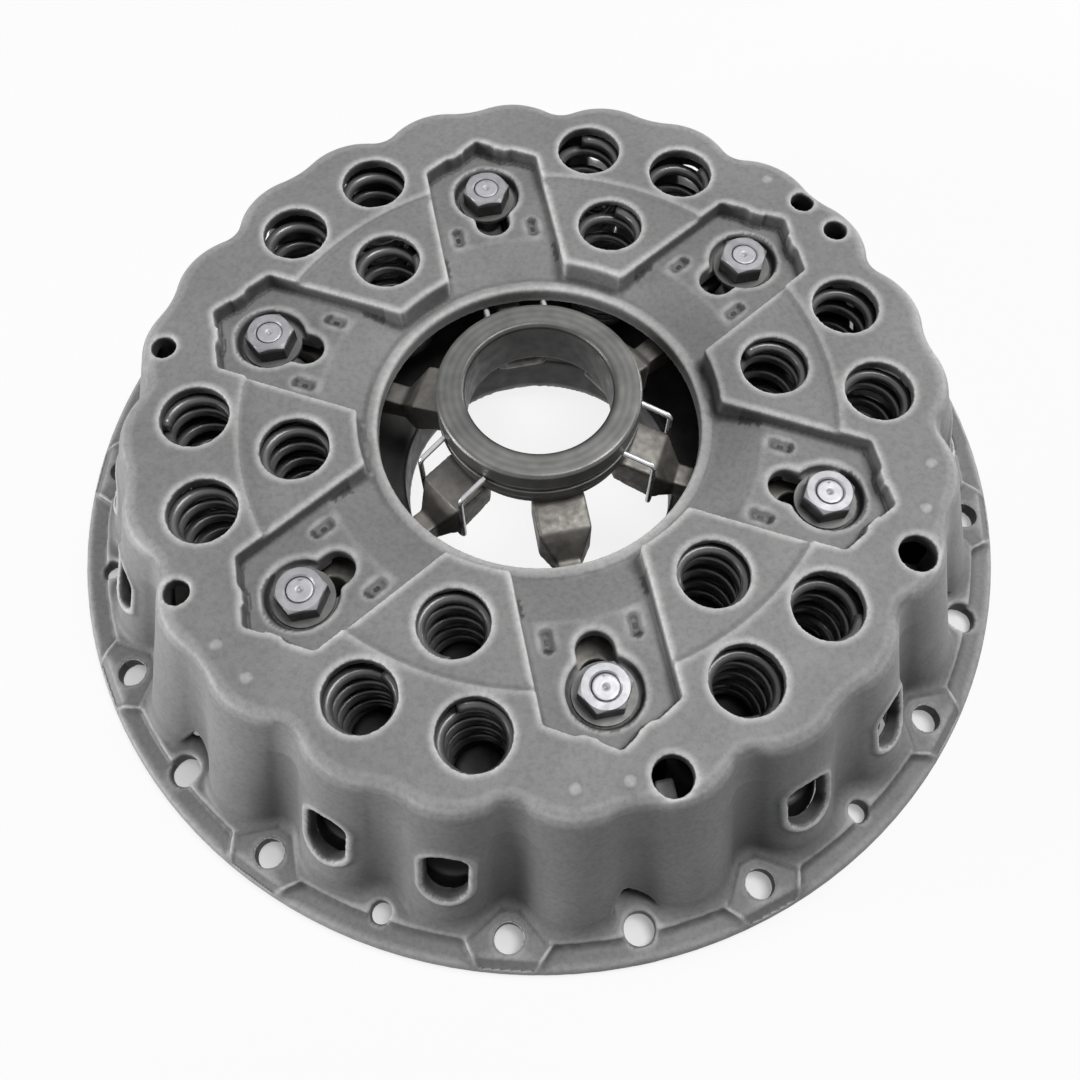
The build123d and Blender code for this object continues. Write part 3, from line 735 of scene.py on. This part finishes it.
def floor_material():
    """Pale floor: white to the eye, darker to light, so that it doesn't brighten the casting from below."""
    material = bpy.data.materials.new("pale_floor")
    material.use_nodes = True
    tree = material.node_tree
    shader = tree.nodes["Principled BSDF"]
    shader.inputs["Roughness"].default_value = 0.9
    shader.inputs["Specular IOR Level"].default_value = 0.1
    paths = tree.nodes.new("ShaderNodeLightPath")
    tone = mixed(tree, paths.outputs["Is Camera Ray"], (0.17, 0.173, 0.177), (0.9, 0.9, 0.9))
    link(tree, tone, shader.inputs["Base Color"])
    glow = new_node(tree, "ShaderNodeEmission", {"Color": (1, 1, 1, 1), "Strength": 1.0})
    coords = tree.nodes.new("ShaderNodeTexCoord")
    distance = new_node(tree, "ShaderNodeVectorMath", operation="LENGTH")
    link(tree, coords.outputs["Object"], distance.inputs[0])
    # Glow share by radius: the floor glows nearly white in the hub, a painted light over its shade there,
    # and outside the flange; under the flange ring it glows less, so that its shadow shows.
    shares = [(0.074, 0.85), (0.08, 0.3), (0.2285, 0.3), (0.2305, 0.85)]
    share = new_node(tree, "ShaderNodeMath", operation="MULTIPLY")
    link(tree, ramp(tree, distance.outputs["Value"], shares), share.inputs[0])
    link(tree, seen_directly(tree), share.inputs[1])
    mix = tree.nodes.new("ShaderNodeMixShader")
    link(tree, share.outputs[0], mix.inputs[0])
    link(tree, shader.outputs[0], mix.inputs[1])
    link(tree, glow.outputs[0], mix.inputs[2])
    link(tree, mix.outputs[0], tree.nodes["Material Output"].inputs[0])
    return material


def pale_floor():
    """A wide floor just under the mounting face."""
    half_side, drop = 6, 0.0002
    solid = bmesh.new()
    bmesh.ops.create_grid(solid, x_segments=1, y_segments=1, size=half_side)
    bmesh.ops.translate(solid, verts=solid.verts, vec=(0, 0, -drop))
    mesh = bpy.data.meshes.new("floor")
    solid.to_mesh(mesh)
    solid.free()
    mesh_object("floor", mesh, floor_material(), smooth=False)


def white_world():
    """Faint sky light, and plain white where it is seen."""
    world = bpy.data.worlds.new("studio")
    bpy.context.scene.world = world
    world.use_nodes = True
    tree = world.node_tree
    background = tree.nodes["Background"]
    background.inputs["Color"].default_value = (0.9, 0.93, 1.0, 1)
    background.inputs["Strength"].default_value = 0.05
    white = new_node(tree, "ShaderNodeBackground", {"Color": (1, 1, 1, 1), "Strength": 1.0})
    mix = tree.nodes.new("ShaderNodeMixShader")
    link(tree, seen_directly(tree), mix.inputs[0])
    link(tree, background.outputs[0], mix.inputs[1])
    link(tree, white.outputs[0], mix.inputs[2])
    link(tree, mix.outputs[0], tree.nodes["World Output"].inputs[0])


def soft_lamp(name, place, width, power):
    """A square lamp that faces the middle of the clutch."""
    lamp = bpy.data.lights.new(name, "AREA")
    lamp.energy = power
    lamp.shape = "SQUARE"
    lamp.size = width
    obj = bpy.data.objects.new(name, lamp)
    bpy.context.scene.collection.objects.link(obj)
    obj.location = place
    obj.rotation_euler = (Vector((0, 0, 0.05)) - Vector(place)).to_track_quat("-Z", "Y").to_euler()


def photo_camera():
    """The photograph's camera, from directions and distances fitted to it."""
    back = Vector((-0.08651, -0.42294, 0.9020))
    up = Vector((0.18076, 0.88369, 0.4317))
    right = up.cross(back)
    camera = bpy.data.cameras.new("camera")
    camera.sensor_width = 36
    camera.lens = 36.307
    camera.clip_start = 0.01
    obj = bpy.data.objects.new("camera", camera)
    bpy.context.scene.collection.objects.link(obj)
    place = (back * 2.4649 - up * 0.0883 + right * 0.0019) * FLANGE_RADIUS
    turn = Matrix((right, up, back)).transposed().to_4x4()
    obj.matrix_world = Matrix.Translation(place) @ turn
    bpy.context.scene.camera = obj


def studio():
    """Pale floor, soft lamps and the photograph's camera."""
    pale_floor()
    white_world()
    soft_lamp("overhead", (0.95, 0.1, 2.8), 1.3, 64)
    soft_lamp("left_side", (-1.7, -0.05, 0.3), 0.8, 29)
    soft_lamp("right_side", (1.7, 0.75, 0.3), 0.7, 15)
    photo_camera()
    bpy.context.scene.view_settings.view_transform = "Standard"


materials = {
    "casting": painted_casting(),
    "spring": black_spring(),
    "nut": bright_nut(),
    "bolt": steel("zinc_bolt", (0.32, 0.32, 0.335), (0.45, 0.45, 0.47), rough=(0.4, 0.55), metallic=0.6),
    "lever": steel(
        "forged_steel",
        (0.1, 0.095, 0.085),
        (0.19, 0.18, 0.165),
        rough=(0.38, 0.6),
        metallic=0.55,
        grain=260,
        depth=0.0003,
    ),
    "pin": steel("ground_pin", (0.3, 0.3, 0.31), (0.42, 0.42, 0.43)),
    "wire": steel("spring_wire", (0.4, 0.4, 0.4), (0.62, 0.62, 0.63), rough=(0.2, 0.35)),
    "dull_wire": steel("dull_wire", (0.03, 0.03, 0.029), (0.07, 0.068, 0.064), rough=(0.4, 0.55)),
    "washer": steel("grey_washer", (0.12, 0.12, 0.118), (0.19, 0.19, 0.185), (0.4, 0.55), metallic=0.3),
    "ring": turned_steel(),
    "plate": ground_iron(),
}
cover_casting(materials["casting"])
pressure_springs(materials["spring"])
adjusting_nuts(materials["nut"])
eye_bolts(materials["bolt"])
forged_levers(materials["lever"])
plate_casting(materials["plate"])
turned_ring(materials["ring"])
small_parts(materials)
studio()
